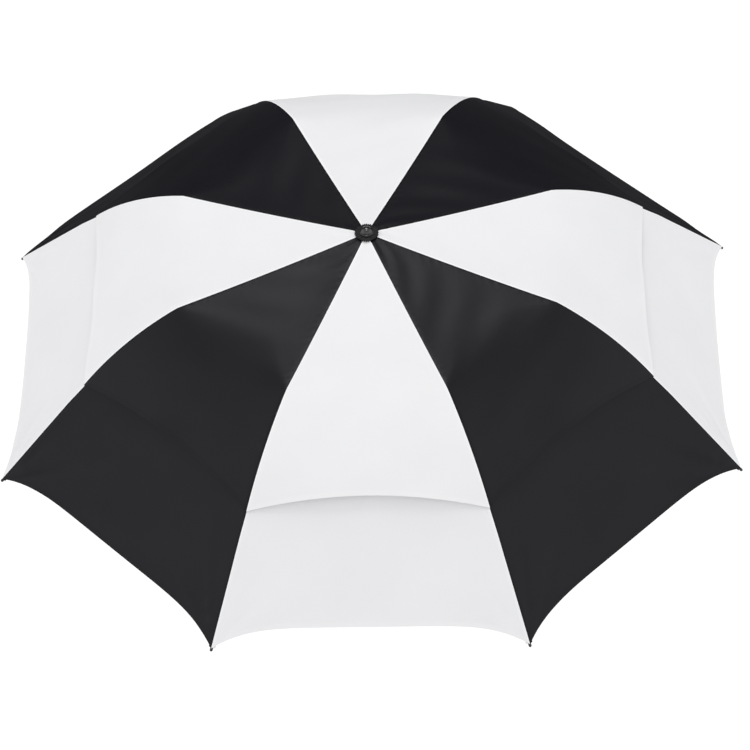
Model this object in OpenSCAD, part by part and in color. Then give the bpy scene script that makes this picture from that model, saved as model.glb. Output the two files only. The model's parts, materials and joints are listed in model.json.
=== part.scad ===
// Folding golf umbrella with a vented double canopy, eight three-part ribs and a telescoping shaft.
// Open, upright, +Z up along the shaft, with the origin at the middle of the hand grip.
// The rib numbered 1 stands half a panel from the -Y side, and the others follow towards +X.

/* [Canopy] */
// Radius from the shaft axis to the rib tips
canopy_r = 628; // [610:2:640]
// Height of the canopy's centre above the rib tips
canopy_rise = 298; // [294:2:306]
// Radius of the first bend of the canopy, over the first rib hinge
bend_r = 314; // [306:2:322]
// How far that bend lies below the canopy's centre
bend_drop = 34; // [30:1:38]
// Slope of the seam just past the bend, in degrees below level
slope_start = 19; // [17:0.5:21]
// Steepest slope of the seam, in degrees below level
slope_end = 45.8; // [45.4:0.2:46.4]
// How fast the seam steepens, in degrees per millimetre
slope_rate = 0.145; // [0.14:0.005:0.15]
// Thickness of a fabric panel
fabric_t = 0.9; // [0.8:0.1:1]
// How far the rim curves in at the middle of a panel
rim_scallop = 31; // [0:1:40]
// How far the vent hem curves in at the middle of a panel
vent_scallop = 24; // [0:2:30]
// Length of the lower panel that lies hidden under the vent hem
vent_overlap = 62; // [40:2:70]
// Height of the vent gap at the middle of a panel
vent_gap = 14; // [6:1:18]
// Inward sag of a panel's middle, as a share of its width
panel_sag = 0.012; // [0:0.002:0.02]

/* [Ribs] */
// Height of a rib bar
rib_h = 4; // [3.6:0.1:4]
// Width of an inner rib
rib_w = 3; // [2.8:0.1:3]
// Distance of a rib hinge's pin from the middle of the bars
pin_offset = 3.2; // [3.2:0.1:3.4]
// Radius of a hinge knuckle
knuckle_r = 2.4; // [2.2:0.1:2.4]
// Radius of a hinge pin
pin_r = 0.9; // [0.7:0.1:1]
// Radius of the round tip rod
tip_rod_r = 1.5; // [1.2:0.1:1.6]
// Radius of a rib tip's cap
tip_cap_r = 2.3; // [2:0.1:2.6]
// Distance along the inner rib from the notch to the stretcher's pivot
stretcher_seat = 165; // [160:1:168]
// Length of a stretcher between its pivots
stretcher_len = 176; // [174:1:180]

/* [Shaft] */
// Height of the ribs' pivots above the middle of the grip
shaft_h = 790; // [784:2:810]
// Outer radius of the lower tube
lower_tube_r = 7; // [7:0.1:7.1]
// Wall of each tube
tube_wall = 0.7; // [0.6:0.1:0.8]
// Gap between two tubes that slide in each other
tube_gap = 0.3; // [0.25:0.05:0.35]
// Height of the lower tube's top end
lower_tube_top = 310; // [300:5:320]
// Height of the middle tube's top end
middle_tube_top = 540; // [530:5:550]
// Length of one tube that stays inside the next
tube_overlap = 35; // [30:1:40]
// Radius of the ring of rib pivots
notch_pin_r = 10; // [10:0.1:10.4]
// Radius of the ring of stretcher pivots
crown_pin_r = 12.3; // [12.3:0.1:12.6]
// Outer radius of the notch
notch_r = 14; // [13.5:0.5:15]
// Outer radius of the runner's crown
crown_r = 17; // [16:0.5:18]

/* [Handle] */
// Radius of the hand grip
grip_r = 15; // [14.5:0.5:17]
// Length of the straight hand grip
grip_len = 90; // [80:2:90]
// Length of the slimmer neck above the grip, which holds the push button
neck_len = 34; // [30:1:34]
// How much slimmer the neck is than the grip
neck_step = 0.6; // [0.4:0.1:1]

/* [Hidden] */
$fn = 48;
RIBS = 8;
PANEL_ANGLE = 360 / RIBS;
PART_NUMBERS = [for (k = [1:RIBS]) str(k)];

WHITE = "white";
BLACK = "dimgray";
STEEL = "silver";
ROD = "darkslategray";
PLASTIC = "black";

// ---- The seam: the line over one rib, in the upright plane of that rib ----
SEAM_STEP = 18;
SEAM_STEPS = 24;
HUB_Z = shaft_h + 5.4;
TIP_Z = HUB_Z - canopy_rise;
function seam_slope(s) = min(slope_end, slope_start + slope_rate * s);
// Running sum of short steps past the bend
function seam_walk(i) = i == 0
    ? [[bend_r, HUB_Z - bend_drop]]
    : let (before = seam_walk(i - 1), a = seam_slope((i - 0.5) * SEAM_STEP))
      concat(before, [before[i - 1] + SEAM_STEP * [cos(a), -sin(a)]]);
BEND_POINTS = seam_walk(SEAM_STEPS);
BEND_S = norm([bend_r, bend_drop]);
// Point of the seam at the distance s from the canopy's centre
function seam(s) = s <= BEND_S
    ? [0, HUB_Z] + s / BEND_S * [bend_r, -bend_drop]
    : let (q = (s - BEND_S) / SEAM_STEP, i = min(SEAM_STEPS - 1, floor(q)))
      BEND_POINTS[i] + (q - i) * (BEND_POINTS[i + 1] - BEND_POINTS[i]);
function seam_normal(s) = let (d = seam(s + 1) - seam(s - 1)) [-d[1], d[0]] / norm(d);
SEAM_END = BEND_POINTS[SEAM_STEPS];
// Seam distances of the rib tips, of the rim beside them and of the vent hem's ends
TIP_S = BEND_S + SEAM_STEP * SEAM_STEPS + (canopy_r - SEAM_END[0]) / cos(slope_end);
RIM_S = TIP_S - 5;
VENT_S = BEND_S + 194;

// ---- The rib pivots, in the upright plane of one rib ----
PIVOT_N = [notch_pin_r, shaft_h];
PIVOT_1 = seam(BEND_S) - 3.9 * seam_normal(BEND_S);
PIVOT_2 = seam(BEND_S + 190) - 9.3 * seam_normal(BEND_S + 190);
TIP = seam(TIP_S) - 3.4 * seam_normal(TIP_S);
function slope_of(from, to) = -atan2(to[1] - from[1], to[0] - from[0]);
INNER_LEN = norm(PIVOT_1 - PIVOT_N);
MIDDLE_LEN = norm(PIVOT_2 - PIVOT_1);
TIP_LEN = norm(TIP - PIVOT_2);
INNER_BAR = sqrt(pow(INNER_LEN, 2) - pow(pin_offset, 2));
MIDDLE_BAR = sqrt(pow(MIDDLE_LEN, 2) - pow(2 * pin_offset, 2));
TIP_BAR = sqrt(pow(TIP_LEN, 2) - pow(pin_offset, 2));
INNER_SLOPE = slope_of(PIVOT_N, PIVOT_1) + asin(pin_offset / INNER_LEN);
MIDDLE_SLOPE = slope_of(PIVOT_1, PIVOT_2) - asin(2 * pin_offset / MIDDLE_LEN);
TIP_SLOPE = slope_of(PIVOT_2, TIP) + asin(pin_offset / TIP_LEN);
SEAT = PIVOT_N + stretcher_seat * [cos(INNER_SLOPE), -sin(INNER_SLOPE)];
STRETCHER_RUN = SEAT[0] - crown_pin_r;
CROWN_Z = SEAT[1] - sqrt(pow(stretcher_len, 2) - pow(STRETCHER_RUN, 2));
STRETCHER_SLOPE = slope_of(SEAT, [crown_pin_r, CROWN_Z]);

SLOT_W = rib_w + 0.8;
SIDE_GAP = 0.3;
CHEEK_T = 1;
TONGUE_W = rib_w - 2 * SIDE_GAP;
KNUCKLE_ROOM = 6.5;
FORK_LEN = 14;
CAP_LEN = 8;

// ---- Helpers ----
module at_rib(k) {
    rotate([0, 0, PANEL_ANGLE * (k - 0.5) - 90]) children();
}

// A bar's own frame: x along the bar, z up, with the point at its start
module along(point, slope) {
    translate([point[0], 0, point[1]]) rotate([0, slope, 0]) children();
}

module cross_pin(r, w) {
    rotate([90, 0, 0]) cylinder(h = w, r = r, center = true);
}

// Flat plate in the rib's plane
module plate(points, w) {
    rotate([90, 0, 0]) linear_extrude(w, center = true) polygon(points);
}

// Knuckle outline that joins a bar's end to a pin on its upper side, bar towards +x
function knuckle(reach) = [
    [reach, -rib_h / 2],
    [3, -rib_h / 2],
    [-0.9 * knuckle_r, pin_offset - 0.44 * knuckle_r],
    [0.5 * knuckle_r, pin_offset + 0.86 * knuckle_r],
    [reach, rib_h / 2]
];

module tongue() {
    difference() {
        union() {
            plate(knuckle(FORK_LEN), TONGUE_W);
            translate([0, 0, pin_offset]) cross_pin(knuckle_r, TONGUE_W);
        }
        translate([0, 0, pin_offset]) cross_pin(pin_r + 0.2, rib_w * 2);
    }
}

// Two cheeks and their pin, around the next part's tongue
module fork() {
    for (side = [-1, 1])
        translate([0, side * (rib_w + CHEEK_T) / 2, 0]) {
            plate(knuckle(FORK_LEN), CHEEK_T);
            translate([0, 0, pin_offset]) cross_pin(knuckle_r, CHEEK_T);
        }
    translate([0, 0, pin_offset]) cross_pin(pin_r, rib_w + 2 * CHEEK_T + 0.8);
    translate([FORK_LEN - 6, -rib_w / 2 - 0.2, -rib_h / 2])
        cube([6, rib_w + 0.4, rib_h]);
}

module bar(from, to, w) {
    translate([from, -w / 2, -rib_h / 2]) cube([to - from, w, rib_h]);
}

// ---- Ribs ----
module inner_rib(k) {
    color(STEEL) at_rib(k) along(PIVOT_N, INNER_SLOPE) {
        difference() {
            union() {
                cross_pin(rib_h / 2, rib_w);
                bar(0, INNER_BAR - KNUCKLE_ROOM, rib_w);
            }
            cross_pin(pin_r + 0.2, rib_w * 2);
            translate([stretcher_seat, 0, 0]) cross_pin(pin_r + 0.2, rib_w * 2);
        }
        translate([INNER_BAR, 0, 0]) mirror([1, 0, 0]) fork();
    }
}

module middle_rib(k) {
    color(STEEL) at_rib(k) along(PIVOT_1, MIDDLE_SLOPE) translate([0, 0, -pin_offset]) {
        tongue();
        bar(KNUCKLE_ROOM, MIDDLE_BAR - KNUCKLE_ROOM, TONGUE_W);
        translate([MIDDLE_BAR, 0, 0]) mirror([1, 0, 0]) mirror([0, 0, 1]) fork();
    }
}

module tip_cap() {
    translate([TIP_BAR - CAP_LEN, 0, 0]) rotate([0, 90, 0]) difference() {
        union() {
            cylinder(h = CAP_LEN - tip_cap_r, r = tip_cap_r);
            translate([0, 0, CAP_LEN - tip_cap_r]) sphere(r = tip_cap_r);
        }
        translate([0, 0, -1]) cylinder(h = CAP_LEN - 2, r = tip_rod_r);
    }
}

module tip_rib(k) {
    color(ROD) at_rib(k) along(PIVOT_2, TIP_SLOPE) translate([0, 0, pin_offset]) {
        mirror([0, 0, 1]) tongue();
        translate([FORK_LEN - 4, 0, 0]) rotate([0, 90, 0])
            cylinder(h = TIP_BAR - CAP_LEN - FORK_LEN + 8, r = tip_rod_r);
        tip_cap();
    }
}

// Channel with its back on top, forked over the inner rib, with a flat foot in the crown
module stretcher(k) {
    wall = 1;
    inside_w = rib_w + 1.2;
    outside_w = inside_w + 2 * wall;
    back_z = -rib_h / 2 - 1.2;
    block = stretcher_len - 36;
    block_len = 7;
    foot_w = 2.4;
    foot_r = 2.3;
    color(STEEL) at_rib(k) along(SEAT, STRETCHER_SLOPE) {
        for (side = [-1, 1])
            translate([0, side * (inside_w + wall) / 2, 0]) {
                cross_pin(rib_h / 2, wall);
                translate([0, -wall / 2, back_z]) cube([block + 1, wall, rib_h / 2 - back_z]);
            }
        cross_pin(pin_r, outside_w + 0.8);
        translate([12, -outside_w / 2, back_z]) cube([block - 11, outside_w, 0.8]);
        translate([block, -outside_w / 2, back_z]) cube([block_len, outside_w, rib_h / 2 - back_z]);
        difference() {
            union() {
                translate([block + 6, -foot_w / 2, -foot_r])
                    cube([stretcher_len - block - 6, foot_w, 2 * foot_r]);
                translate([stretcher_len, 0, 0]) cross_pin(foot_r, foot_w);
            }
            translate([stretcher_len, 0, 0]) cross_pin(pin_r + 0.2, foot_w * 2);
        }
    }
}

// ---- Canopy ----
ACROSS = 8;
ALONG = 9;
// Upper surface of a panel: u from -1 to 1 across it, s along the seam, lift off the seams' surface
function panel_point(u, s, lift) =
    let (
        p = seam(s),
        n = seam_normal(s),
        half = PANEL_ANGLE / 2,
        rise = lift - panel_sag * 2 * p[0] * sin(half) * (1 - u * u),
        x = p[0] * cos(half) + rise * n[0]
    )
    [
        x,
        x * tan(half) * u,
        p[1] + rise * n[1]
    ];

// Closed thin solid through a grid of rows of points, and the same grid lowered by the thickness
module thin_panel(rows) {
    n = len(rows);
    m = len(rows[0]);
    top = [for (row = rows) each row];
    bottom = [for (p = top) p - [0, 0, fabric_t]];
    half = n * m;
    upper = [
        for (i = [0:n - 2]) for (j = [0:m - 2])
            for (t = [[0, 1, m + 1], [0, m + 1, m]]) [for (q = t) i * m + j + q]
    ];
    lower = [for (t = upper) [half + t[2], half + t[1], half + t[0]]];
    edge = concat(
        [for (j = [0:m - 1]) j],
        [for (i = [1:n - 1]) i * m + m - 1],
        [for (j = [m - 2:-1:0]) (n - 1) * m + j],
        [for (i = [n - 2:-1:1]) i * m]
    );
    count = len(edge);
    side = [
        for (e = [0:count - 1])
            let (a = edge[e], b = edge[(e + 1) % count])
            for (t = [[b, a, half + a], [b, half + a, half + b]]) t
    ];
    polyhedron(points = concat(top, bottom), faces = concat(upper, lower, side));
}

module at_panel(k) {
    rotate([0, 0, PANEL_ANGLE * k - 90]) children();
}

EDGE_GAP = 0.0015;
function across(j) = (2 * j / ACROSS - 1) * (1 - EDGE_GAP);

// Seam distance of an edge that curves in by the scallop at the middle of a panel.
// A higher power keeps the middle straighter and bends the edge near its ends.
VENT_CURVE = 2;
RIM_CURVE = 5.5;
function edge_s(at_seam, scallop, curve, u) = at_seam - scallop * (1 - pow(abs(u), curve));

// One flat row from near the centre to the bend, then short rows that follow the curve
module vent_panel(k) {
    hub_s = 16;
    color(k % 2 == 0 ? WHITE : BLACK) at_panel(k) thin_panel([
        for (i = [-1:ALONG]) [
            for (j = [0:ACROSS])
                let (
                    u = across(j),
                    t = max(0, i / ALONG),
                    end_s = edge_s(VENT_S, vent_scallop, VENT_CURVE, u),
                    s = i < 0 ? hub_s : BEND_S + (end_s - BEND_S) * t
                )
                panel_point(u, s, vent_gap * (1 - u * u) * pow(t, 2))
        ]
    ]);
}

module lower_panel(k) {
    start_s = VENT_S - vent_scallop - vent_overlap;
    under_vent = 2;
    color(k % 2 == 0 ? WHITE : BLACK) at_panel(k) thin_panel([
        for (i = [0:ALONG]) [
            for (j = [0:ACROSS])
                let (
                    u = across(j),
                    end_s = edge_s(RIM_S, rim_scallop, RIM_CURVE, u),
                    s = start_s + (end_s - start_s) * i / ALONG,
                    sink = min(under_vent, max(0, under_vent - (s - VENT_S) / 20))
                )
                panel_point(u, s, -sink)
        ]
    ]);
}

// Strap that ties up the closed canopy, hanging inside the rim beside a rib tip
module closing_strap() {
    strap_panel = 3;
    strap_u = 0.9;
    strap_w = 22;
    strap_len = 60;
    strap_t = 1.2;
    hem = panel_point(strap_u, edge_s(RIM_S, rim_scallop, RIM_CURVE, strap_u), 0);
    color(BLACK) at_panel(strap_panel)
        translate([hem[0] - 3, hem[1] - strap_w / 2, hem[2] - strap_len - 3])
        cube([strap_t, strap_w, strap_len]);
}

// ---- Top of the shaft ----
CAP_Z = HUB_Z + 1.2;

module top_cap() {
    dome_h = 9;
    dome_r = 10;
    color(PLASTIC) translate([0, 0, CAP_Z]) difference() {
        union() {
            cylinder(h = 2.5, r = dome_r);
            translate([0, 0, 2.5]) intersection() {
                translate([0, 0, -4.4]) sphere(r = 10.93);
                cylinder(h = dome_h, r = dome_r);
            }
        }
        translate([0, 0, -1]) cylinder(h = 5, r = tube_r(2));
    }
}

module cap_washer() {
    color(PLASTIC) translate([0, 0, HUB_Z - 0.2]) difference() {
        cylinder(h = 1.4, r = 17.5);
        translate([0, 0, -1]) cylinder(h = 4, r = tube_r(2));
    }
}

// Slots that leave the ribs free to swing, around a hub
module slots(inner, outer, from, to) {
    for (k = [1:RIBS])
        at_rib(k) translate([inner, -SLOT_W / 2, from]) cube([outer - inner, SLOT_W, to - from]);
}

module top_notch() {
    below = 7;
    above = 2.1;
    slot_floor = 7.4;
    color(PLASTIC) translate([0, 0, shaft_h]) {
        difference() {
            translate([0, 0, -below]) cylinder(h = below + above, r = notch_r);
            translate([0, 0, -below - 1]) cylinder(h = below + above + 2, r = tube_r(2));
            slots(slot_floor, notch_r + 1, -below - 1, above + 1);
        }
        for (k = [1:RIBS])
            at_rib(k) translate([notch_pin_r, 0, 0]) cross_pin(pin_r, SLOT_W + 1);
    }
}

// ---- Shaft: three tubes, each inside the one below ----
LOWER_TUBE_FROM = -35;
function tube_r(i) = lower_tube_r - i * (tube_wall + tube_gap);

module tube(i, from, to) {
    color(STEEL) translate([0, 0, from]) difference() {
        cylinder(h = to - from, r = tube_r(i));
        translate([0, 0, -1]) cylinder(h = to - from + 2, r = tube_r(i) - tube_wall);
    }
}

module lower_tube() {
    tube(0, LOWER_TUBE_FROM, lower_tube_top);
}

module middle_tube() {
    tube(1, lower_tube_top - tube_overlap, middle_tube_top);
}

module upper_tube() {
    tube(2, middle_tube_top - tube_overlap, CAP_Z + 4);
}

// Close coil inside the upper tube
module opening_spring() {
    wire_r = 0.5;
    coil_r = 3.4;
    turns = 16;
    around = 10;
    sides = 5;
    from = middle_tube_top + 30;
    coil_h = 170;
    n = turns * around;
    points = [
        for (i = [0:n]) for (j = [0:sides - 1])
            let (a = 360 * i / around, b = 360 * j / sides, r = coil_r + wire_r * cos(b))
            [r * cos(a), r * sin(a), from + coil_h * i / n + wire_r * sin(b)]
    ];
    walls = [
        for (i = [0:n - 1]) for (j = [0:sides - 1])
            let (a = i * sides + j, b = i * sides + (j + 1) % sides)
            for (t = [[a, b, b + sides], [a, b + sides, a + sides]]) t
    ];
    ends = [[for (j = [0:sides - 1]) sides - 1 - j], [for (j = [0:sides - 1]) n * sides + j]];
    color(STEEL) polyhedron(points = points, faces = concat(walls, ends));
}

// Sliding sleeve with a slotted crown for the stretchers' feet and a pull ring at its lower end
module runner() {
    sleeve_r = 9.3;
    bore_r = lower_tube_r + 0.3;
    crown_h = 5;
    sleeve_len = 50;
    ring_h = 8;
    ring_r = 13;
    color(PLASTIC) translate([0, 0, CROWN_Z]) difference() {
        union() {
            translate([0, 0, -sleeve_len]) cylinder(h = sleeve_len + crown_h, r = sleeve_r);
            translate([0, 0, -crown_h]) difference() {
                cylinder(h = 2 * crown_h, r = crown_r);
                slots(sleeve_r - 1, crown_r + 1, -1, 2 * crown_h + 1);
            }
            translate([0, 0, -sleeve_len]) cylinder(h = ring_h, r = ring_r);
        }
        translate([0, 0, -sleeve_len - 1]) cylinder(h = sleeve_len + crown_h + 2, r = bore_r);
    }
}

// ---- Handle ----
GRIP_END = grip_len / 2;
NECK_R = grip_r - neck_step;
BUTTON_W = 8.4;
BUTTON_H = 15;
BUTTON_GAP = 0.4;
BUTTON_Z = GRIP_END + neck_len / 2;
POCKET_FLOOR = 8.6;

module handle_grip() {
    shoulder_h = 12;
    shoulder_r = 9.5;
    neck_top = GRIP_END + neck_len;
    pocket_w = BUTTON_W + 2 * BUTTON_GAP;
    pocket_h = BUTTON_H + 2 * BUTTON_GAP;
    color(PLASTIC) difference() {
        rotate_extrude() polygon([
            [lower_tube_r, -GRIP_END],
            [grip_r, -GRIP_END],
            [grip_r, GRIP_END],
            [NECK_R, GRIP_END + neck_step],
            [NECK_R, neck_top],
            [shoulder_r, neck_top + shoulder_h - 2],
            [shoulder_r - 1, neck_top + shoulder_h],
            [lower_tube_r, neck_top + shoulder_h]
        ]);
        translate([-pocket_w / 2, -grip_r - 1, BUTTON_Z - pocket_h / 2])
            cube([pocket_w, grip_r + 1 - POCKET_FLOOR, pocket_h]);
    }
}

// Closes the lower end of the grip, with an eye for a wrist cord
module end_cap() {
    cap_h = 5;
    eye_r = 2;
    color(PLASTIC) difference() {
        union() {
            translate([0, 0, -GRIP_END - cap_h]) rotate_extrude() polygon([
                [0, 0],
                [grip_r - 3, 0],
                [grip_r - 0.8, 1.2],
                [grip_r - 0.2, cap_h - 1],
                [grip_r - 0.2, cap_h],
                [0, cap_h]
            ]);
            translate([0, 0, -GRIP_END]) cylinder(h = LOWER_TUBE_FROM + GRIP_END, r = lower_tube_r);
        }
        translate([0, grip_r - 4, -GRIP_END - cap_h - 1]) cylinder(h = cap_h + 0.5, r = eye_r);
    }
}

module release_button() {
    proud = 1.6;
    depth = 4.6;
    color(STEEL) translate([-BUTTON_W / 2, -NECK_R - proud, BUTTON_Z - BUTTON_H / 2])
        cube([BUTTON_W, depth, BUTTON_H]);
}

for (k = [1:RIBS]) {
    inner_rib(k);
    middle_rib(k);
    tip_rib(k);
    stretcher(k);
    vent_panel(k);
    lower_panel(k);
}
top_cap();
cap_washer();
top_notch();
upper_tube();
middle_tube();
lower_tube();
runner();
opening_spring();
handle_grip();
end_cap();
release_button();
closing_strap();
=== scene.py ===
"""Looks of the folding golf umbrella: cloth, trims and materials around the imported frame, in metres."""

import json
import math

import bmesh
import bpy
import numpy as np
from mathutils import Matrix, Vector


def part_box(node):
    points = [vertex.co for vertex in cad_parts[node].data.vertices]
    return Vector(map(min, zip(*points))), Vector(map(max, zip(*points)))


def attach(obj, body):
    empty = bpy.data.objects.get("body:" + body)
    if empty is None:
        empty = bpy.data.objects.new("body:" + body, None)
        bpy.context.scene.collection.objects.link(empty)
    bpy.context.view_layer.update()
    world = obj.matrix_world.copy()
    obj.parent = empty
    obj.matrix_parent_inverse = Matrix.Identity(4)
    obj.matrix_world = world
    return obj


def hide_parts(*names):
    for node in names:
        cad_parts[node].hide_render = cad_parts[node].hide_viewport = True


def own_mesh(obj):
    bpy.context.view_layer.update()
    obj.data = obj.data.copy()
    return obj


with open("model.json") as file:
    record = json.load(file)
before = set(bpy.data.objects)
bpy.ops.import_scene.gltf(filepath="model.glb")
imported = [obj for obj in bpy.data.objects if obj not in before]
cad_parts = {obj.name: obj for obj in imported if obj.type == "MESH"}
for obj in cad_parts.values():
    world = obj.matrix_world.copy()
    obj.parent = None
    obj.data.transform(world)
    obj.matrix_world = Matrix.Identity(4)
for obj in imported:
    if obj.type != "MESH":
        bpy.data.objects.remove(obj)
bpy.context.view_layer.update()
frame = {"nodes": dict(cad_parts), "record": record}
MM = 0.001


# ---- Camera: above the front, a little to the right, with a slight roll ----
CAMERA_LENS = 171.84
CAMERA_DISTANCE = 5.743
CAMERA_AZIMUTH = math.radians(1.62)
CAMERA_ELEVATION = math.radians(48.29)
CAMERA_ROLL = math.radians(2.07)
CAMERA_RIGHT = 5.9 * MM
CAMERA_UP = -21.3 * MM
RIM_HEIGHT = 0.4974


def make_camera():
    data = bpy.data.cameras.new("camera")
    data.lens = CAMERA_LENS
    data.sensor_width = 36
    data.clip_start = 0.1
    data.clip_end = 100
    camera = bpy.data.objects.new("camera", data)
    bpy.context.scene.collection.objects.link(camera)
    flat = math.cos(CAMERA_ELEVATION)
    height = math.sin(CAMERA_ELEVATION)
    back = Vector((math.sin(CAMERA_AZIMUTH) * flat, -math.cos(CAMERA_AZIMUTH) * flat, height))
    level_right = Vector((math.cos(CAMERA_AZIMUTH), math.sin(CAMERA_AZIMUTH), 0))
    level_up = back.cross(level_right)
    right = math.cos(CAMERA_ROLL) * level_right - math.sin(CAMERA_ROLL) * level_up
    up = math.sin(CAMERA_ROLL) * level_right + math.cos(CAMERA_ROLL) * level_up
    place = Vector((0, 0, RIM_HEIGHT)) + CAMERA_DISTANCE * back + CAMERA_RIGHT * right + CAMERA_UP * up
    turn = Matrix((right, up, back)).transposed().to_4x4()
    camera.matrix_world = Matrix.Translation(place) @ turn
    bpy.context.scene.camera = camera


# ---- Shape of the canopy ----
RIBS = 8
HALF = math.pi / RIBS
HUB_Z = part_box("cap_washer")[0].z + 0.2 * MM
CANOPY_R = 0.628
BEND_R = 0.314
BEND_DROP = 0.034
HUB_SLOPE = math.atan2(BEND_DROP, BEND_R)
SLOPE_START = math.radians(19)
SLOPE_END = math.radians(45.8)
SLOPE_RATE = math.radians(145)
SAG = 0.012
BEND_S = math.hypot(BEND_R, BEND_DROP)
VENT_S = BEND_S + 0.194
VENT_SCALLOP = 0.024
VENT_CURVE = 2
VENT_GAP = 0.0135
VENT_OVERLAP = 0.062
RIM_INSET = 0.005
RIM_SCALLOP = {"white_fabric": 0.031, "black_fabric": 0.026}
RIM_CURVE = 5.5
# The two black panels at the back are slacker and billow out by this much towards the rim
BILLOW = {3: 0.0065, 5: 0.013}
UNDER_VENT = 0.002
HUB_DIP = 0.0025
# Radii of the rib joints, where the cloth is split between the bodies that carry it
ELBOW_R = 0.3135
KNUCKLE_R = 0.4656
# The bend is sharp over a rib and rounded over this length in the middle of a panel
BEND_ROUNDING = 0.13

STEP = 0.001
S_LINE = np.arange(-0.1, 0.9, STEP)


def canopy_slope(s):
    past = np.minimum(SLOPE_END, SLOPE_START + SLOPE_RATE * (s - BEND_S))
    return np.where(s < BEND_S, HUB_SLOPE, past)


def summed(values):
    """Running integral along S_LINE that is 0 at s = 0."""
    total = np.concatenate([[0.0], np.cumsum((values[1:] + values[:-1]) / 2) * STEP])
    return total - np.interp(0.0, S_LINE, total)


SLOPE_SUM = summed(canopy_slope(S_LINE))


class Line:
    """Radius and height of the canopy over the distance s from its centre, at one place across a panel."""

    def __init__(self, u):
        width = 0.004 + BEND_ROUNDING * (1 - u * u)
        ahead = np.interp(S_LINE + width / 2, S_LINE, SLOPE_SUM)
        behind = np.interp(S_LINE - width / 2, S_LINE, SLOPE_SUM)
        self.slope = (ahead - behind) / width
        inside = (S_LINE < width - 0.1) | (S_LINE > 0.9 - width)
        self.slope[inside] = canopy_slope(S_LINE[inside])
        self.radius = summed(np.cos(self.slope))
        self.height = HUB_Z - summed(np.sin(self.slope))

    def at(self, s):
        return (
            np.interp(s, S_LINE, self.radius),
            np.interp(s, S_LINE, self.height),
            np.interp(s, S_LINE, self.slope),
        )

    def distance(self, radius):
        return float(np.interp(radius, self.radius, S_LINE))


SEAM = Line(1.0)
TIP_S = SEAM.distance(CANOPY_R)
RIM_S = TIP_S - RIM_INSET


def vent_end(u):
    return VENT_S - VENT_SCALLOP * (1 - abs(u) ** VENT_CURVE)


def panel_slot(k):
    return "white_fabric" if k % 2 == 0 else "black_fabric"


def rim_end(k):
    return lambda u: RIM_S - RIM_SCALLOP[panel_slot(k)] * (1 - abs(u) ** RIM_CURVE)


def lower_start(u):
    return VENT_S - VENT_SCALLOP - VENT_OVERLAP


def cut(radius):
    """Distance s at which a joint's plane, square to the rib, crosses the panel."""
    inner = math.cos(HALF) ** 2
    outer = math.sin(HALF) ** 2
    return lambda u: Line(u).distance(radius / (inner + outer * abs(u)))


def seam_groove(u, s):
    """The stitched seam pulls the cloth down in a shallow groove with small puckers beside it."""
    radius, _, _ = SEAM.at(s)
    away = (1 - np.abs(u)) * radius * math.sin(HALF)
    groove = -0.5 * MM * np.exp(-away / (2.2 * MM))
    pucker = 0.16 * MM * np.sin(s * 2 * math.pi / (11 * MM) + 2.1 * np.sin(s * 61)) * np.exp(-away / (7 * MM))
    return groove + pucker * np.minimum(1, away / (2 * MM))


def tip_pull(u, s, k):
    """Tension creases that fan out from a rib tip into the lower panel."""
    radius, _, _ = SEAM.at(s)
    width = radius * math.sin(HALF)
    total = 0
    for side in (-1, 1):
        across = (1 - side * u) * width
        along = TIP_S - s
        distance = np.hypot(across, along) + 1e-6
        angle = np.arctan2(across, along)
        fade = np.exp(-distance / 0.09) * np.clip(distance / 0.05 - 0.3, 0, 1) * np.minimum(1, across / 0.012)
        phase = k * 2.2 + side * 0.6
        total = total + 1.3 * MM * fade * np.sin(angle * 11 + phase + 6 * distance)
        total = total + 0.5 * MM * fade * np.sin(angle * 23 - phase * 1.3 + 11 * distance)
    return total


def seam_dip(s):
    """The canopy hangs a little below the straight line between its centre and the bend."""
    share = np.clip(s / BEND_S, 0, 1)
    return -HUB_DIP * 4 * share * (1 - share)


def drift(u, s, seed):
    """Slow unevenness of cloth under tension, a millimetre or so high."""
    first = np.sin(9 * s * 2 * math.pi + seed * 2.4 + 1.7 * u)
    second = np.sin(2.6 * u + 23 * s + seed * 1.1)
    return 0.6 * MM * first * second * (1 - u * u)


def vent_lift(u, s, k):
    share = np.clip((s - BEND_S) / (vent_end(u) - BEND_S), 0, 1.05)
    flare = VENT_GAP * (1 - u * u) * share**2
    hem = (vent_end(u) - s) / 0.03
    wave = 1.1 * MM * np.exp(-np.abs(hem)) * np.sin(7.5 * u + 1.3 * k) * (1 - u * u)
    return flare + wave + drift(u, s, 1.3 * k) + seam_groove(u, s) + seam_dip(s)


def lower_lift(u, s, k):
    under = np.clip(UNDER_VENT - (s - VENT_S) / 20, 0, UNDER_VENT)
    share = np.clip((s - VENT_S + VENT_SCALLOP) / (RIM_S - VENT_S), 0, 1)
    billow = BILLOW.get(k, 0) * (1 - u**4) * share**0.8
    return tip_pull(u, s, k) + drift(u, s, 1.3 * k + 3) + seam_groove(u, s) + billow - under - 0.4 * MM


def panel_point(line, u, s, lift):
    """Point of a panel in its own frame: x outwards over its middle, y along the rim, z up."""
    radius, height, slope = line.at(s)
    rise = lift - SAG * 2 * radius * math.sin(HALF) * (1 - u * u)
    x = radius * math.cos(HALF) + rise * np.sin(slope)
    return np.stack([x, x * math.tan(HALF) * u, height + rise * np.cos(slope)], axis=-1)


# ---- Meshes ----
def turn_z(angle):
    c, s = math.cos(angle), math.sin(angle)
    return np.array([[c, -s, 0], [s, c, 0], [0, 0, 1]])


def panel_turn(k):
    return turn_z(2 * HALF * k - math.pi / 2)


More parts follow.
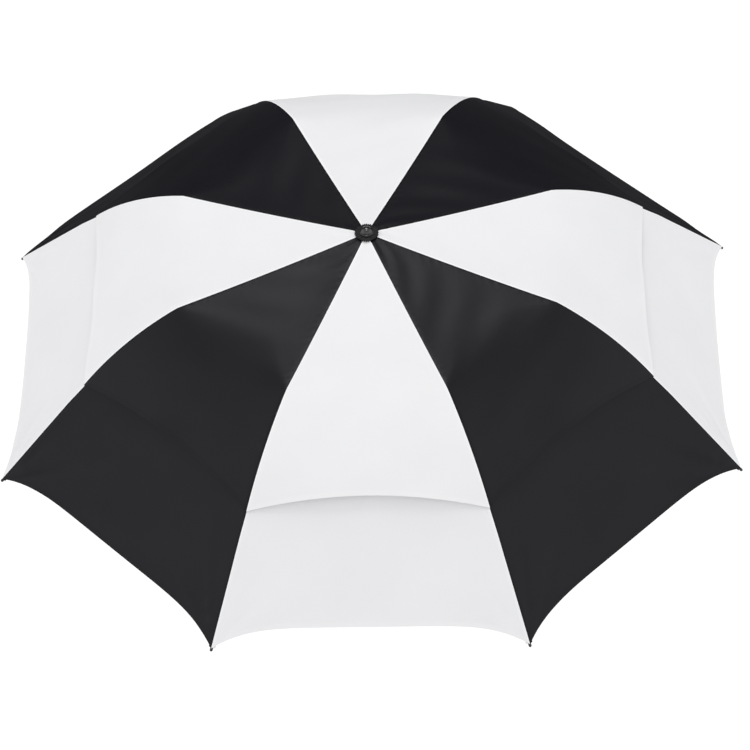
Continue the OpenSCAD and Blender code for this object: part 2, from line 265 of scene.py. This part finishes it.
class Cloth:
    """Collects grids of points with their normals and the two sets of cloth coordinates."""

    def __init__(self):
        self.points, self.normals, self.cloth, self.edges, self.faces = [], [], [], [], []

    def grid(self, points, normals, cloth, edges, flip=False):
        rows, columns = points.shape[:2]
        start = sum(len(p) for p in self.points)
        self.points.append(points.reshape(-1, 3))
        self.normals.append(normals.reshape(-1, 3))
        self.cloth.append(cloth.reshape(-1, 2))
        self.edges.append(edges.reshape(-1, 2))
        for i in range(rows - 1):
            for j in range(columns - 1):
                a = start + i * columns + j
                face = (a, a + 1, a + columns + 1, a + columns)
                self.faces.append(face[::-1] if flip else face)

    def build(self, name):
        mesh = bpy.data.meshes.new(name)
        points = np.concatenate(self.points)
        mesh.from_pydata(points.tolist(), [], self.faces)
        corners = np.zeros(len(mesh.loops), np.int32)
        mesh.loops.foreach_get("vertex_index", corners)
        for title, values in (("cloth", self.cloth), ("edges", self.edges)):
            layer = mesh.uv_layers.new(name=title)
            layer.data.foreach_set("uv", np.concatenate(values)[corners].astype(np.float32).ravel())
        mesh.shade_smooth()
        mesh.normals_split_custom_set_from_vertices(np.concatenate(self.normals).tolist())
        return link(name, mesh)


def link(name, mesh):
    obj = bpy.data.objects.new(name, mesh)
    bpy.context.scene.collection.objects.link(obj)
    return obj


def smooth(obj, angle=35):
    """Smooth shading with sharp edges kept where faces meet at more than the angle."""
    obj.data.shade_smooth()
    obj.data.set_sharp_from_angle(angle=math.radians(angle))
    return obj


def lathe(name, outline, around=96, wave=None):
    """Turned solid from an outline of (radius, height) pairs; wave may change a point by its angle."""
    mesh = bpy.data.meshes.new(name)
    work = bmesh.new()
    rings = []
    for radius, height in outline:
        if radius < 1e-6:
            rings.append([work.verts.new((0, 0, height))])
            continue
        ring = []
        for i in range(around):
            angle = 2 * math.pi * i / around
            r, z = wave(radius, height, angle) if wave else (radius, height)
            ring.append(work.verts.new((r * math.cos(angle), r * math.sin(angle), z)))
        rings.append(ring)
    for low, high in zip(rings, rings[1:]):
        for i in range(around):
            j = (i + 1) % around
            loop = [low[i % len(low)], low[j % len(low)], high[j % len(high)], high[i % len(high)]]
            unique = list(dict.fromkeys(loop))
            if len(unique) > 2:
                work.faces.new(unique)
    bmesh.ops.recalc_face_normals(work, faces=work.faces)
    work.to_mesh(mesh)
    work.free()
    return link(name, mesh)


def arc(centre_r, centre_z, radius, start, end, steps):
    """Points of an arc in the outline plane, from one angle to another in degrees."""
    angles = [math.radians(start + (end - start) * i / steps) for i in range(steps + 1)]
    return [(centre_r + radius * math.cos(a), centre_z + radius * math.sin(a)) for a in angles]


# ---- Material helpers ----
def node(tree, kind, inputs=None, **settings):
    """New shader node with its settings; an input may be a value or another node's socket."""
    made = tree.nodes.new(kind)
    for name, value in settings.items():
        setattr(made, name, value)
    for name, value in (inputs or {}).items():
        if isinstance(value, bpy.types.NodeSocket):
            tree.links.new(value, made.inputs[name])
        else:
            made.inputs[name].default_value = value
    return made


def maths(tree, operation, a, b=0.0):
    return node(tree, "ShaderNodeMath", {0: a, 1: b}, operation=operation).outputs[0]


def grey_mix(tree, share, dark, light):
    """Colour between two colours by a share from 0 to 1."""
    mix = node(tree, "ShaderNodeMix", data_type="RGBA")
    tree.links.new(share, mix.inputs["Factor"])
    mix.inputs["A"].default_value = (*dark, 1)
    mix.inputs["B"].default_value = (*light, 1)
    return mix.outputs["Result"]


def spread(tree, value, low, high, out_low, out_high):
    made = node(tree, "ShaderNodeMapRange", {"Value": value})
    made.inputs["From Min"].default_value = low
    made.inputs["From Max"].default_value = high
    made.inputs["To Min"].default_value = out_low
    made.inputs["To Max"].default_value = out_high
    return made.outputs["Result"]


def noise(tree, vector, scale, detail=3.0):
    made = node(tree, "ShaderNodeTexNoise", {"Scale": scale, "Detail": detail})
    if vector is not None:
        tree.links.new(vector, made.inputs["Vector"])
    return made.outputs["Fac"]


def principled(name, **sockets):
    material = bpy.data.materials.new(name)
    material.use_nodes = True
    shader = material.node_tree.nodes["Principled BSDF"]
    for title, value in sockets.items():
        shader.inputs[title.replace("_", " ")].default_value = value
    return material, material.node_tree, shader


def bumped(tree, shader, height, strength, distance):
    bump = node(tree, "ShaderNodeBump", {"Strength": strength, "Distance": distance, "Height": height})
    tree.links.new(bump.outputs["Normal"], shader.inputs["Normal"])


# ---- Materials ----
def fabric(name, dark, light, edge, roughness, sheen, specular):
    """Taut pongee: fine plain weave, slight differences in tone, and stitched, doubled seams and hems, with
    painted seam shade: the edge colour over the doubled cloth is darker on black cloth and lighter on white
    cloth.
    """
    material, tree, shader = principled(
        name, Roughness=roughness, Sheen_Weight=sheen, Sheen_Roughness=0.4, Specular_IOR_Level=specular
    )
    cloth = node(tree, "ShaderNodeUVMap", uv_map="cloth").outputs["UV"]
    edges = node(tree, "ShaderNodeUVMap", uv_map="edges").outputs["UV"]
    across = node(tree, "ShaderNodeSeparateXYZ", {0: cloth})
    apart = node(tree, "ShaderNodeSeparateXYZ", {0: edges})
    thread = 2 * math.pi / (0.45 * MM)
    warp = maths(tree, "SINE", maths(tree, "MULTIPLY", across.outputs[0], thread))
    weft = maths(tree, "SINE", maths(tree, "MULTIPLY", across.outputs[1], thread))
    weave = maths(tree, "MULTIPLY", warp, weft)
    stitch = stitches(tree, apart.outputs[0], across.outputs[1], 2.0 * MM)
    hem = stitches(tree, apart.outputs[1], across.outputs[0], 6.5 * MM)
    sewn = maths(tree, "MAXIMUM", stitch, hem)
    cloudy = noise(tree, cloth, 9.0, 4.0)
    slub = noise(tree, cloth, 420.0, 2.0)
    shade = maths(tree, "ADD", maths(tree, "MULTIPLY", cloudy, 0.7), maths(tree, "MULTIPLY", slub, 0.3))
    shade = maths(tree, "SUBTRACT", shade, maths(tree, "MULTIPLY", sewn, 0.6))
    share = spread(tree, shade, 0.25, 0.75, 0.0, 1.0)
    # Painted seam shade: the cloth turns to the edge colour where it is doubled along seams and hems, as
    # painted shade on dark cloth and painted light on white cloth
    doubled_seam_shade = maths(
        tree,
        "MAXIMUM",
        spread(tree, apart.outputs[0], 1.5 * MM, 5 * MM, 1.0, 0.0),
        spread(tree, apart.outputs[1], 7 * MM, 9 * MM, 0.3, 0.0),
    )
    base = node(tree, "ShaderNodeMix", data_type="RGBA")
    tree.links.new(doubled_seam_shade, base.inputs["Factor"])
    tree.links.new(grey_mix(tree, share, dark, light), base.inputs["A"])
    # Edge colour of the painted seam shade
    base.inputs["B"].default_value = (*edge, 1)
    tree.links.new(base.outputs["Result"], shader.inputs["Base Color"])
    relief = maths(tree, "ADD", maths(tree, "MULTIPLY", weave, 0.25), maths(tree, "MULTIPLY", sewn, -1.5))
    relief = maths(tree, "ADD", relief, maths(tree, "MULTIPLY", slub, 0.6))
    bumped(tree, shader, relief, 0.35, 0.05 * MM)
    return material


def stitches(tree, away, along, offset):
    """Row of stitches at an offset from an edge: 1 on the thread, 0 elsewhere."""
    thread_half = 0.3 * MM
    pitch = 2.8 * MM
    from_row = maths(tree, "ABSOLUTE", maths(tree, "SUBTRACT", away, offset))
    on_row = maths(tree, "LESS_THAN", from_row, thread_half)
    phase = maths(tree, "FRACT", maths(tree, "DIVIDE", along, pitch))
    return maths(tree, "MULTIPLY", on_row, maths(tree, "LESS_THAN", phase, 0.72))


def moulded(name, dark, light, roughness, grain, relief, specular=0.5, coat=0.0):
    """Moulded plastic or rubber with a fine grain, faint shade differences and scuffed patches."""
    material, tree, shader = principled(
        name, Specular_IOR_Level=specular, Coat_Weight=coat, Coat_Roughness=0.08
    )
    place = node(tree, "ShaderNodeTexCoord").outputs["Object"]
    fine = noise(tree, place, grain, 3.0)
    broad = noise(tree, place, 30.0, 4.0)
    share = spread(tree, broad, 0.3, 0.7, 0.0, 1.0)
    tree.links.new(grey_mix(tree, share, dark, light), shader.inputs["Base Color"])
    rough = spread(tree, maths(tree, "ADD", fine, broad), 0.7, 1.3, roughness * 0.88, roughness * 1.12)
    tree.links.new(rough, shader.inputs["Roughness"])
    bumped(tree, shader, fine, 0.5, relief)
    return material


def metal(name, dark, light, roughness, stretch, relief, metallic=1.0):
    """Drawn or rolled metal with fine lines along Z for the tubes, and small differences in gloss."""
    material, tree, shader = principled(name, Metallic=metallic)
    place = node(tree, "ShaderNodeTexCoord").outputs["Object"]
    drawn = node(tree, "ShaderNodeMapping", {"Vector": place, "Scale": stretch}).outputs["Vector"]
    lines = noise(tree, drawn, 900.0, 3.0)
    broad = noise(tree, place, 45.0, 4.0)
    share = spread(tree, broad, 0.3, 0.7, 0.0, 1.0)
    tree.links.new(grey_mix(tree, share, dark, light), shader.inputs["Base Color"])
    mixed = maths(tree, "ADD", maths(tree, "MULTIPLY", lines, 0.5), maths(tree, "MULTIPLY", broad, 0.5))
    rough = spread(tree, mixed, 0.3, 0.7, roughness * 0.75, roughness * 1.25)
    tree.links.new(rough, shader.inputs["Roughness"])
    bumped(tree, shader, lines, 0.35, relief)
    return material


def make_materials():
    """One material for each slot of the record."""
    even = (1, 1, 1)
    along_z = (1, 1, 0.03)
    return {
        "white_fabric": fabric(
            "white_fabric",
            dark=(0.83, 0.83, 0.845),
            light=(0.87, 0.87, 0.885),
            # Edge colour: painted light along the doubled seams and hems
            edge=(0.9, 0.9, 0.91),
            roughness=0.6,
            sheen=0.05,
            specular=0.2,
        ),
        "black_fabric": fabric(
            "black_fabric",
            dark=(0.0065, 0.0063, 0.009),
            light=(0.0095, 0.0092, 0.0125),
            # Edge colour: painted shade along the doubled seams and hems
            edge=(0.004, 0.004, 0.006),
            roughness=0.34,
            sheen=0.01,
            specular=0.17,
        ),
        "rib_metal": metal("rib_metal", (0.52, 0.53, 0.55), (0.62, 0.63, 0.65), 0.34, even, 0.02 * MM),
        "rib_fibreglass": moulded(
            "rib_fibreglass", (0.014,) * 3, (0.024,) * 3, 0.3, 1800.0, 0.02 * MM, coat=0.3
        ),
        "stretcher_metal": metal(
            "stretcher_metal", (0.045, 0.045, 0.05), (0.075, 0.075, 0.08), 0.38, even, 0.02 * MM, metallic=0.7
        ),
        "shaft_metal": metal("shaft_metal", (0.6, 0.61, 0.63), (0.68, 0.69, 0.71), 0.14, along_z, 0.006 * MM),
        "spring_steel": metal("spring_steel", (0.4, 0.4, 0.42), (0.5, 0.5, 0.52), 0.3, even, 0.01 * MM),
        "black_nylon": moulded("black_nylon", (0.013,) * 3, (0.021,) * 3, 0.42, 1400.0, 0.03 * MM),
        "cap_gloss": moulded("cap_gloss", (0.009,) * 3, (0.014,) * 3, 0.16, 700.0, 0.01 * MM, coat=0.6),
        "grip_rubber": moulded(
            "grip_rubber", (0.016,) * 3, (0.025,) * 3, 0.6, 2200.0, 0.06 * MM, specular=0.4
        ),
        "button_plastic": moulded(
            "button_plastic", (0.3, 0.31, 0.33), (0.36, 0.37, 0.39), 0.32, 1500.0, 0.02 * MM
        ),
        "strap_fabric": fabric(
            "strap_fabric",
            dark=(0.007, 0.007, 0.009),
            light=(0.012, 0.012, 0.014),
            # Edge colour: painted shade along the doubled edges of the strap
            edge=(0.006, 0.006, 0.007),
            roughness=0.6,
            sheen=0.05,
            specular=0.3,
        ),
    }


def dress_cad(materials):
    """Gives every CAD node that stays in view the material of its slot."""
    slots = {part["node"]: part["material_slot"] for part in frame["record"]["subparts"]}
    for name, obj in frame["nodes"].items():
        obj.data.materials.clear()
        obj.data.materials.append(materials[slots[name]])


def finish_piece(piece, body, material, nodes=()):
    piece.data.materials.append(material)
    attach(piece, body)
    if nodes:
        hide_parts(*nodes)
    return piece


# ---- Canopy ----
ACROSS = 22
ROW = 7 * MM
HEM_FOLD = 8 * MM
SEAM_FOLD = 6 * MM
CLOTH_T = 0.45 * MM


def cloth_patch(k, side, start, end, hem_end, lift, hemmed):
    """Mesh data of half a panel between two lines across it, with its turned hem and seam allowance."""
    columns = [side * j / ACROSS for j in range(ACROSS + 1)]
    lines = [Line(u) for u in columns]
    longest = max(end(u) - start(u) for u in columns)
    rows = max(4, math.ceil(longest / ROW))
    shares = np.linspace(0, 1, rows + 1)
    turn = panel_turn(k)
    small = 0.5 * MM

    def column(u, line, s, down=0.0):
        """Points, normals and coordinates of one line of points along the panel."""
        def here(u_, s_):
            near = line if u_ == u else Line(u_)
            return panel_point(near, u_, s_, lift(u_, s_, k))
        point = here(u, s)
        du = 0.004
        low_u, high_u = (u - du, u) if u > 1 - du else (u, u + du)
        if u < -1 + du:
            low_u, high_u = u, u + du
        across = here(high_u, s) - here(low_u, s)
        along = here(u, s + small) - here(u, s - small)
        normal = np.cross(along, across)
        normal /= np.linalg.norm(normal, axis=-1, keepdims=True)
        normal *= np.sign(normal[..., 2:3])
        point = point - down * normal
        radius, _, _ = line.at(s)
        width = radius * math.sin(HALF)
        cloth = np.stack([u * width, s], axis=-1)
        edges = np.stack([(1 - abs(u)) * width, hem_end(u) - s], axis=-1)
        return point @ turn.T, normal @ turn.T, cloth, edges

    def gather(parts, upside=1):
        points, normals, cloth, edges = (np.stack(group, axis=1) for group in zip(*parts))
        return points, normals * upside, cloth, edges

    cloth = Cloth()
    flip = side > 0
    body = []
    for u, line in zip(columns, lines):
        body.append(column(u, line, start(u) + (end(u) - start(u)) * shares))
    top = gather(body)
    cloth.grid(*top, flip=flip)
    if hemmed:
        fold = []
        for u, line in zip(columns, lines):
            s = np.array([end(u), end(u) - HEM_FOLD / 2, end(u) - HEM_FOLD])
            point, normal, c, e = column(u, line, s, down=CLOTH_T)
            point[0] += CLOTH_T * normal[0]
            fold.append((point, normal, c, e))
        cloth.grid(*gather(fold, -1), flip=flip)
    seam_u, seam_line = columns[-1], lines[-1]
    s = start(seam_u) + (end(seam_u) - start(seam_u)) * shares
    edge = column(seam_u, seam_line, s)
    radius, _, _ = seam_line.at(s)
    inward = SEAM_FOLD / (radius * math.sin(HALF))
    turned = []
    for i, down in ((0.0, 0.0), (0.5, 2.2 * CLOTH_T), (1.0, 2.6 * CLOTH_T)):
        point, normal, c, e = edge
        u_in = side * (1 - i * np.minimum(inward, 0.6))
        shifted = panel_point(seam_line, u_in, s, lift(seam_u, s, k)) @ turn.T
        turned.append((shifted - down * normal, normal, c, e))
    cloth.grid(*gather(turned, -1), flip=flip)
    points = top[0]
    a, b, c = points[:-1, :-1], points[1:, :-1], points[:-1, 1:]
    d = points[1:, 1:]
    area = np.linalg.norm(np.cross(b - a, c - a), axis=-1).sum() / 2
    area += np.linalg.norm(np.cross(b - d, c - d), axis=-1).sum() / 2
    return cloth, float(area), longest


def fold_with_rib(piece):
    """Gives the piece a mesh of its own."""
    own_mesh(piece)


def make_canopy(materials):
    elbow, knuckle = cut(ELBOW_R), cut(KNUCKLE_R)
    inwards = -0.4 * BEND_S

    def hub(u):
        return 12 * MM

    for k in range(1, RIBS + 1):
        slot = panel_slot(k)
        rim = rim_end(k)
        stretches = (
            # name, rib part, from, to, edge with the hem, lift, hemmed, anchor past the bend, replaced node
            ("vent_canopy_inner", "inner", hub, elbow, vent_end, vent_lift, False, inwards, "vent_panel"),
            ("vent_canopy_outer", "middle", elbow, vent_end, vent_end, vent_lift, True, 0.09, None),
            ("lower_canopy_inner", "middle", lower_start, knuckle, rim, lower_lift, False, 0.14, None),
            ("lower_canopy_rim", "tip", knuckle, rim, rim, lower_lift, True, 0.3, "lower_panel"),
        )
        for side, hand in ((-1, "left"), (1, "right")):
            rib = k if side < 0 else k % RIBS + 1
            for name, part, start, end, hem_end, lift, hemmed, past_bend, node_name in stretches:
                cloth, area, length = cloth_patch(k, side, start, end, hem_end, lift, hemmed)
                piece = cloth.build(f"{name}_{k}_{hand}")
                nodes = [f"{node_name}_{k}"] if node_name and side < 0 else []
                finish_piece(piece, f"{part}_rib_{rib}", materials[slot], nodes)
                widest = float(SEAM.at(min(end(1.0), RIM_S))[0]) * math.sin(HALF)
                fold_with_rib(piece)


# ---- Top of the shaft ----
def make_cap(materials):
    """Glossy domed cap with a rolled rim and a shallow groove."""
    low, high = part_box("top_cap")
    radius = (high.x - low.x) / 2 + 0.7 * MM
    rim = 1.1 * MM
    outline = [(radius * 0.55, low.z), (radius - rim, low.z)]
    outline += arc(radius - rim, low.z + rim, rim, -90, 80, 8)
    dome_r = radius - rim * 1.1
    dome_z = low.z + 2.3 * MM
    dome_h = high.z - dome_z
    outline.append((dome_r, dome_z))
    steps = 14
    for i in range(1, steps + 1):
        angle = math.pi / 2 * i / steps
        z = dome_z + dome_h * math.sin(angle) ** 1.15
        outline.append((max(0.0, dome_r * math.cos(angle)), z))
    cap = smooth(lathe("cap_dome", outline, around=96), 50)
    finish_piece(cap, "upper_shaft", materials["cap_gloss"], ["top_cap"])


def make_washer(materials):
    """Cloth washer under the cap, with a pinked edge of small pointed teeth that lift and dip a little."""
    low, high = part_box("cap_washer")
    radius = (high.x - low.x) / 2
    middle = (low.z + high.z) / 2
    teeth = 36
    tooth = 1.6 * MM

    def pinked(r, z, angle):
        share = max(0.0, (r / radius - 0.6) / 0.4)
        point = abs((teeth * angle / (2 * math.pi)) % 1 * 2 - 1)
        lift = 0.5 * math.sin(5 * angle) + 0.4 * math.sin(11 * angle + 1) + 0.3 * math.sin(17 * angle)
        return (
            r + share**3 * tooth * (point - 0.1),
            z + share * MM * lift - share * 0.5 * MM,
        )

    rings = 10
    inner = 5 * MM
    cloth_t = 0.35 * MM
    upper = [(inner + (radius - inner) * i / rings, middle + cloth_t) for i in range(rings + 1)]
    lower = [(r, z - 2 * cloth_t) for r, z in reversed(upper)]
    washer = smooth(lathe("cap_pinked_washer", upper + lower + upper[:1], around=288, wave=pinked), 60)
    finish_piece(washer, "upper_shaft", materials["strap_fabric"], ["cap_washer"])


# ---- Handle ----
def cut_box(obj, name, low, high):
    """Cuts a box out of a closed piece."""
    mesh = bpy.data.meshes.new(name)
    work = bmesh.new()
    bmesh.ops.create_cube(work, size=1)
    for vert in work.verts:
        for axis in range(3):
            vert.co[axis] = high[axis] if vert.co[axis] > 0 else low[axis]
    work.to_mesh(mesh)
    work.free()
    cutter = link(name, mesh)
    boolean = obj.modifiers.new("cut", "BOOLEAN")
    boolean.object = cutter
    boolean.operation = "DIFFERENCE"
    boolean.solver = "EXACT"
    graph = bpy.context.evaluated_depsgraph_get()
    result = bpy.data.meshes.new_from_object(obj.evaluated_get(graph))
    obj.modifiers.clear()
    obj.data = result
    bpy.data.objects.remove(cutter)
    return obj


def make_grip(materials):
    """Rubber grip with a crossed pattern of grooves between plain bands, and a pocket for the button."""
    low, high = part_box("handle_grip")
    button_low, button_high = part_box("release_button")
    radius = high.x
    bore = 7 * MM
    neck_r = radius - 0.6 * MM
    collar = 45 * MM
    edge = 2.4 * MM
    pattern_from, pattern_to = low.z + 12 * MM, collar - 9 * MM
    step = 1.1 * MM

    def body_r(z):
        share = (z - low.z) / (collar - low.z)
        return radius - 1.1 * MM * math.sin(math.pi * share) ** 2 - 0.2 * MM

    outline = [(bore, low.z), (radius - edge, low.z)]
    outline += arc(radius - edge - 0.2 * MM, low.z + edge, edge, -85, 0, 7)
    for i in range(round((collar - 4 * MM - low.z - edge) / step)):
        z = low.z + edge + step * (i + 1)
        outline.append((body_r(z), z))
    outline += arc(radius - 1.5 * MM, collar - 1.5 * MM, 1.5 * MM, -60, 60, 6)
    outline += [(neck_r - 0.5 * MM, collar + 0.3 * MM), (neck_r, collar + 1.6 * MM)]
    neck_top = high.z - 12 * MM
    steps = 8
    for i in range(1, steps + 1):
        outline.append((neck_r, collar + 1.6 * MM + (neck_top - collar - 1.6 * MM) * i / steps))
    for i in range(1, 11):
        angle = math.pi / 2 * i / 10
        outline.append((neck_r - 5.6 * MM * (1 - math.cos(angle)), neck_top + 12 * MM * math.sin(angle)))
    outline += [(bore, high.z), (bore, low.z)]

    def grooved(r, z, angle):
        if r < 12 * MM or z < pattern_from or z > pattern_to:
            return r, z
        fade = min(1.0, (z - pattern_from) / (3 * MM), (pattern_to - z) / (3 * MM))
        lean = z * 2 * math.pi / (34 * MM)
        crossing = min(abs(math.sin(7 * angle + 2.5 * lean)), abs(math.sin(7 * angle - 2.5 * lean)))
        return r - 0.75 * MM * fade * max(0.0, 1 - crossing / 0.3), z

    grip = lathe("grip_rubber_body", outline, around=168, wave=grooved)
    gap = 0.4 * MM
    pocket_low = (button_low.x - gap, low.y - MM, button_low.z - gap)
    pocket_high = (button_high.x + gap, -8.6 * MM, button_high.z + gap)
    cut_box(grip, "pocket_cutter", pocket_low, pocket_high)
    smooth(grip, 40)
    finish_piece(grip, "handle", materials["grip_rubber"], ["handle_grip"])


def make_button(materials):
    """Rounded push button with a shallow hollow for the thumb and a few ridges across it."""
    low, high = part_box("release_button")
    half_x = (high.x - low.x) / 2
    half_z = (high.z - low.z) / 2
    centre_z = (high.z + low.z) / 2
    depth = high.y - low.y
    columns, rows = 36, 60
    rounding = 1.5 * MM
    corner = 2.6 * MM

    def spaced(count):
        return [math.sin(math.pi / 2 * (2 * i / count - 1)) for i in range(count + 1)]

    def front(x, z):
        across = abs(x) - half_x + corner
        along = abs(z) - half_z + corner
        outside = math.hypot(max(across, 0), max(along, 0)) + min(max(across, along), 0)
        inside = min(1.0, max(0.0, (corner - outside) / rounding))
        rise = math.sqrt(1 - (1 - inside) ** 2)
        hollow = 0.55 * MM * math.exp(-((x / (3 * MM)) ** 2) - (z / (5 * MM)) ** 2)
        ridged = inside > 0.98 and abs(z) < 5 * MM
        ridge = 0.22 * MM * max(0.0, math.cos(z * 2 * math.pi / (2 * MM))) if ridged else 0.0
        return high.y - depth * rise + (hollow - ridge) * rise

    mesh = bpy.data.meshes.new("button")
    work = bmesh.new()
    faces = []
    for is_front in (True, False):
        grid = []
        for z in spaced(rows):
            line = []
            for x in spaced(columns):
                pull = max(0.0, math.hypot(x, z) - 1)
                px = x * half_x * (1 - 0.12 * pull)
                pz = z * half_z * (1 - 0.08 * pull)
                line.append(work.verts.new((px, front(px, pz) if is_front else high.y, centre_z + pz)))
            grid.append(line)
        faces.append(grid)
    for grid in faces:
        for i in range(rows):
            for j in range(columns):
                work.faces.new((grid[i][j], grid[i][j + 1], grid[i + 1][j + 1], grid[i + 1][j]))
    bmesh.ops.remove_doubles(work, verts=work.verts, dist=0.005 * MM)
    bmesh.ops.recalc_face_normals(work, faces=work.faces)
    work.to_mesh(mesh)
    work.free()
    button = smooth(link("button_push", mesh), 45)
    finish_piece(button, "release_button", materials["button_plastic"], ["release_button"])


# ---- Closing strap ----
STRAP_PANEL = 3
STRAP_U = 0.9
STRAP_W = 22 * MM
STRAP_LENGTH = 62 * MM


def make_strap(materials):
    """Strap of two cloth layers that hangs from the hem beside a rib, with a hook patch near its end."""
    line = Line(STRAP_U)
    hem = panel_point(line, STRAP_U, rim_end(STRAP_PANEL)(STRAP_U), 0.0)
    turn = panel_turn(STRAP_PANEL)
    folded = 14 * MM

    def centre(t):
        sway = 0.9 * MM * np.sin(2 * math.pi * (t / STRAP_LENGTH + 0.1))
        return np.stack([hem[0] - 3.4 * MM + sway, 0 * t, hem[2] - 0.6 * MM - t], axis=-1)

    def ribbon(t, y, off):
        near = centre(t)
        ahead = centre(t + 0.5 * MM) - near
        ahead /= np.linalg.norm(ahead, axis=-1, keepdims=True)
        out = np.stack([-ahead[..., 2], 0 * t, ahead[..., 0]], axis=-1)
        curl = 0.5 * MM * (y / (STRAP_W / 2)) ** 2
        point = near + out * (off - curl)[..., None]
        point[..., 1] = hem[1] + y
        return point, out

    cloth = Cloth()
    layers = (
        # from, to, offset, outside
        (0.0, STRAP_LENGTH, 0.0, True),
        (STRAP_LENGTH - folded, STRAP_LENGTH, -0.9 * MM, False),
    )
    for start, end, off, outside in layers:
        rows_t = np.linspace(start, end, 40)
        columns_y = np.linspace(-STRAP_W / 2, STRAP_W / 2, 13)
        t, y = np.meshgrid(rows_t, columns_y, indexing="ij")
        closing = np.clip((end - t) / (1.2 * MM), 0, 1) ** 0.5
        point, out = ribbon(t, y, off * closing)
        coordinates = np.stack([y, t], axis=-1)
        edges = np.stack([STRAP_W / 2 - np.abs(y) + 0.0 * t, end - t], axis=-1)
        normal = out if outside else -out
        cloth.grid(point @ turn.T, normal @ turn.T, coordinates, edges, flip=outside)
    strap = cloth.build("strap_ribbon")
    finish_piece(strap, "tip_rib_4", materials["strap_fabric"], ["closing_strap"])

    # Hook patch: a thin pad with rows of small bristles on the inner side
    pad_w, pad_h, pad_t = 16 * MM, 18 * MM, 0.7 * MM
    mesh = bpy.data.meshes.new("patch")
    work = bmesh.new()
    t_middle = STRAP_LENGTH - folded / 2 - 4 * MM
    rows, columns = 18, 16
    bristle_foot = ((0.12, 0), (-0.12, 0.12), (-0.12, -0.12))

    def place(i, j, off):
        t = np.array(t_middle + pad_h * (i / rows - 0.5))
        y = np.array(pad_w * (j / columns - 0.5))
        point, _ = ribbon(t, y, np.array(off))
        return tuple(turn @ point)

    sheets = []
    for off in (-1.0 * MM, -1.0 * MM - pad_t):
        sheets.append(
            [[work.verts.new(place(i, j, off)) for j in range(columns + 1)] for i in range(rows + 1)]
        )
    for sheet in sheets:
        for i in range(rows):
            for j in range(columns):
                work.faces.new((sheet[i][j], sheet[i][j + 1], sheet[i + 1][j + 1], sheet[i + 1][j]))
    ring = [(0, j) for j in range(columns)] + [(i, columns) for i in range(rows)]
    ring += [(rows, j) for j in range(columns, 0, -1)] + [(i, 0) for i in range(rows, 0, -1)]
    for (i, j), (m, n) in zip(ring, ring[1:] + ring[:1]):
        work.faces.new((sheets[0][i][j], sheets[0][m][n], sheets[1][m][n], sheets[1][i][j]))
    for i in range(1, 2 * rows):
        for j in range(1, 2 * columns):
            if (i + j) % 2:
                continue
            foot = -1.0 * MM - pad_t
            base = [work.verts.new(place(i / 2 + a, j / 2 + b, foot)) for a, b in bristle_foot]
            top = work.verts.new(place(i / 2 + 0.1, j / 2, foot - 0.8 * MM))
            for a, b in ((0, 1), (1, 2), (2, 0)):
                work.faces.new((base[a], base[b], top))
            work.faces.new(base)
    bmesh.ops.recalc_face_normals(work, faces=work.faces)
    work.to_mesh(mesh)
    work.free()
    patch = smooth(link("strap_hook_patch", mesh), 40)
    finish_piece(patch, "tip_rib_4", materials["black_nylon"])


# ---- Stage ----
FLOOR_Z = -0.8


def make_stage():
    size = 60
    mesh = bpy.data.meshes.new("floor")
    corners = [(-size, -size, FLOOR_Z), (size, -size, FLOOR_Z), (size, size, FLOOR_Z), (-size, size, FLOOR_Z)]
    mesh.from_pydata(corners, [], [(0, 1, 2, 3)])
    floor = link("floor", mesh)
    material, tree, shader = principled("floor", Roughness=0.9, Base_Color=(0.2, 0.2, 0.2, 1))
    shader.inputs["Emission Color"].default_value = (1, 1, 1, 1)
    shader.inputs["Emission Strength"].default_value = 0.88
    floor.data.materials.append(material)
    # The paper under the umbrella lights it softly but isn't mirrored in the satin cloth
    floor.visible_glossy = False


def area_light(name, direction, size, level):
    """Round soft light at the studio distance from the canopy; level is the light that reaches it."""
    distance = 4
    centre = Vector((0, 0, 0.6))
    place = centre + distance * Vector(direction).normalized()
    data = bpy.data.lights.new(name, "AREA")
    data.shape = "DISK"
    data.size = size
    data.energy = level * math.pi * distance**2
    light = bpy.data.objects.new(name, data)
    bpy.context.scene.collection.objects.link(light)
    light.location = place
    light.rotation_mode = "QUATERNION"
    light.rotation_quaternion = (centre - place).to_track_quat("-Z", "Y")
    light.visible_camera = False
    return light


def make_lights():
    world = bpy.data.worlds.new("studio")
    bpy.context.scene.world = world
    world.use_nodes = True
    sky = world.node_tree.nodes["Background"]
    sky.inputs["Color"].default_value = (1, 1, 1, 1)
    # The room is brightest at its sides and a little above the horizon, and dark behind and below
    tree = world.node_tree
    way = node(tree, "ShaderNodeSeparateXYZ", {0: node(tree, "ShaderNodeTexCoord").outputs["Generated"]})
    upwards = spread(tree, way.outputs[2], -0.1, 0.6, 0.34, 0.92)
    zenith = spread(tree, way.outputs[2], 0.6, 1.0, 0.0, 0.27)
    aside = spread(tree, maths(tree, "ABSOLUTE", way.outputs[0]), 0.45, 0.85, 0.0, 0.5)
    behind = spread(tree, way.outputs[1], 0.35, 0.75, 1.0, 0.12)
    level = maths(tree, "ADD", maths(tree, "SUBTRACT", upwards, zenith), aside)
    level = maths(tree, "MULTIPLY", level, behind)
    tree.links.new(level, sky.inputs["Strength"])
    area_light("top_light", (0, 0.12, 1), 0.9, 0.28)
    area_light("back_light", (-0.04, 0.54, 0.84), 1.5, 0.57)
    area_light("front_light", (0.1, -0.6, 0.8), 2.4, 0.07)
    bpy.context.scene.view_settings.view_transform = "Standard"
    bpy.context.scene.view_settings.look = "None"


make_camera()
make_lights()
make_stage()
materials = make_materials()
dress_cad(materials)
make_canopy(materials)
make_cap(materials)
make_washer(materials)
make_grip(materials)
make_button(materials)
make_strap(materials)
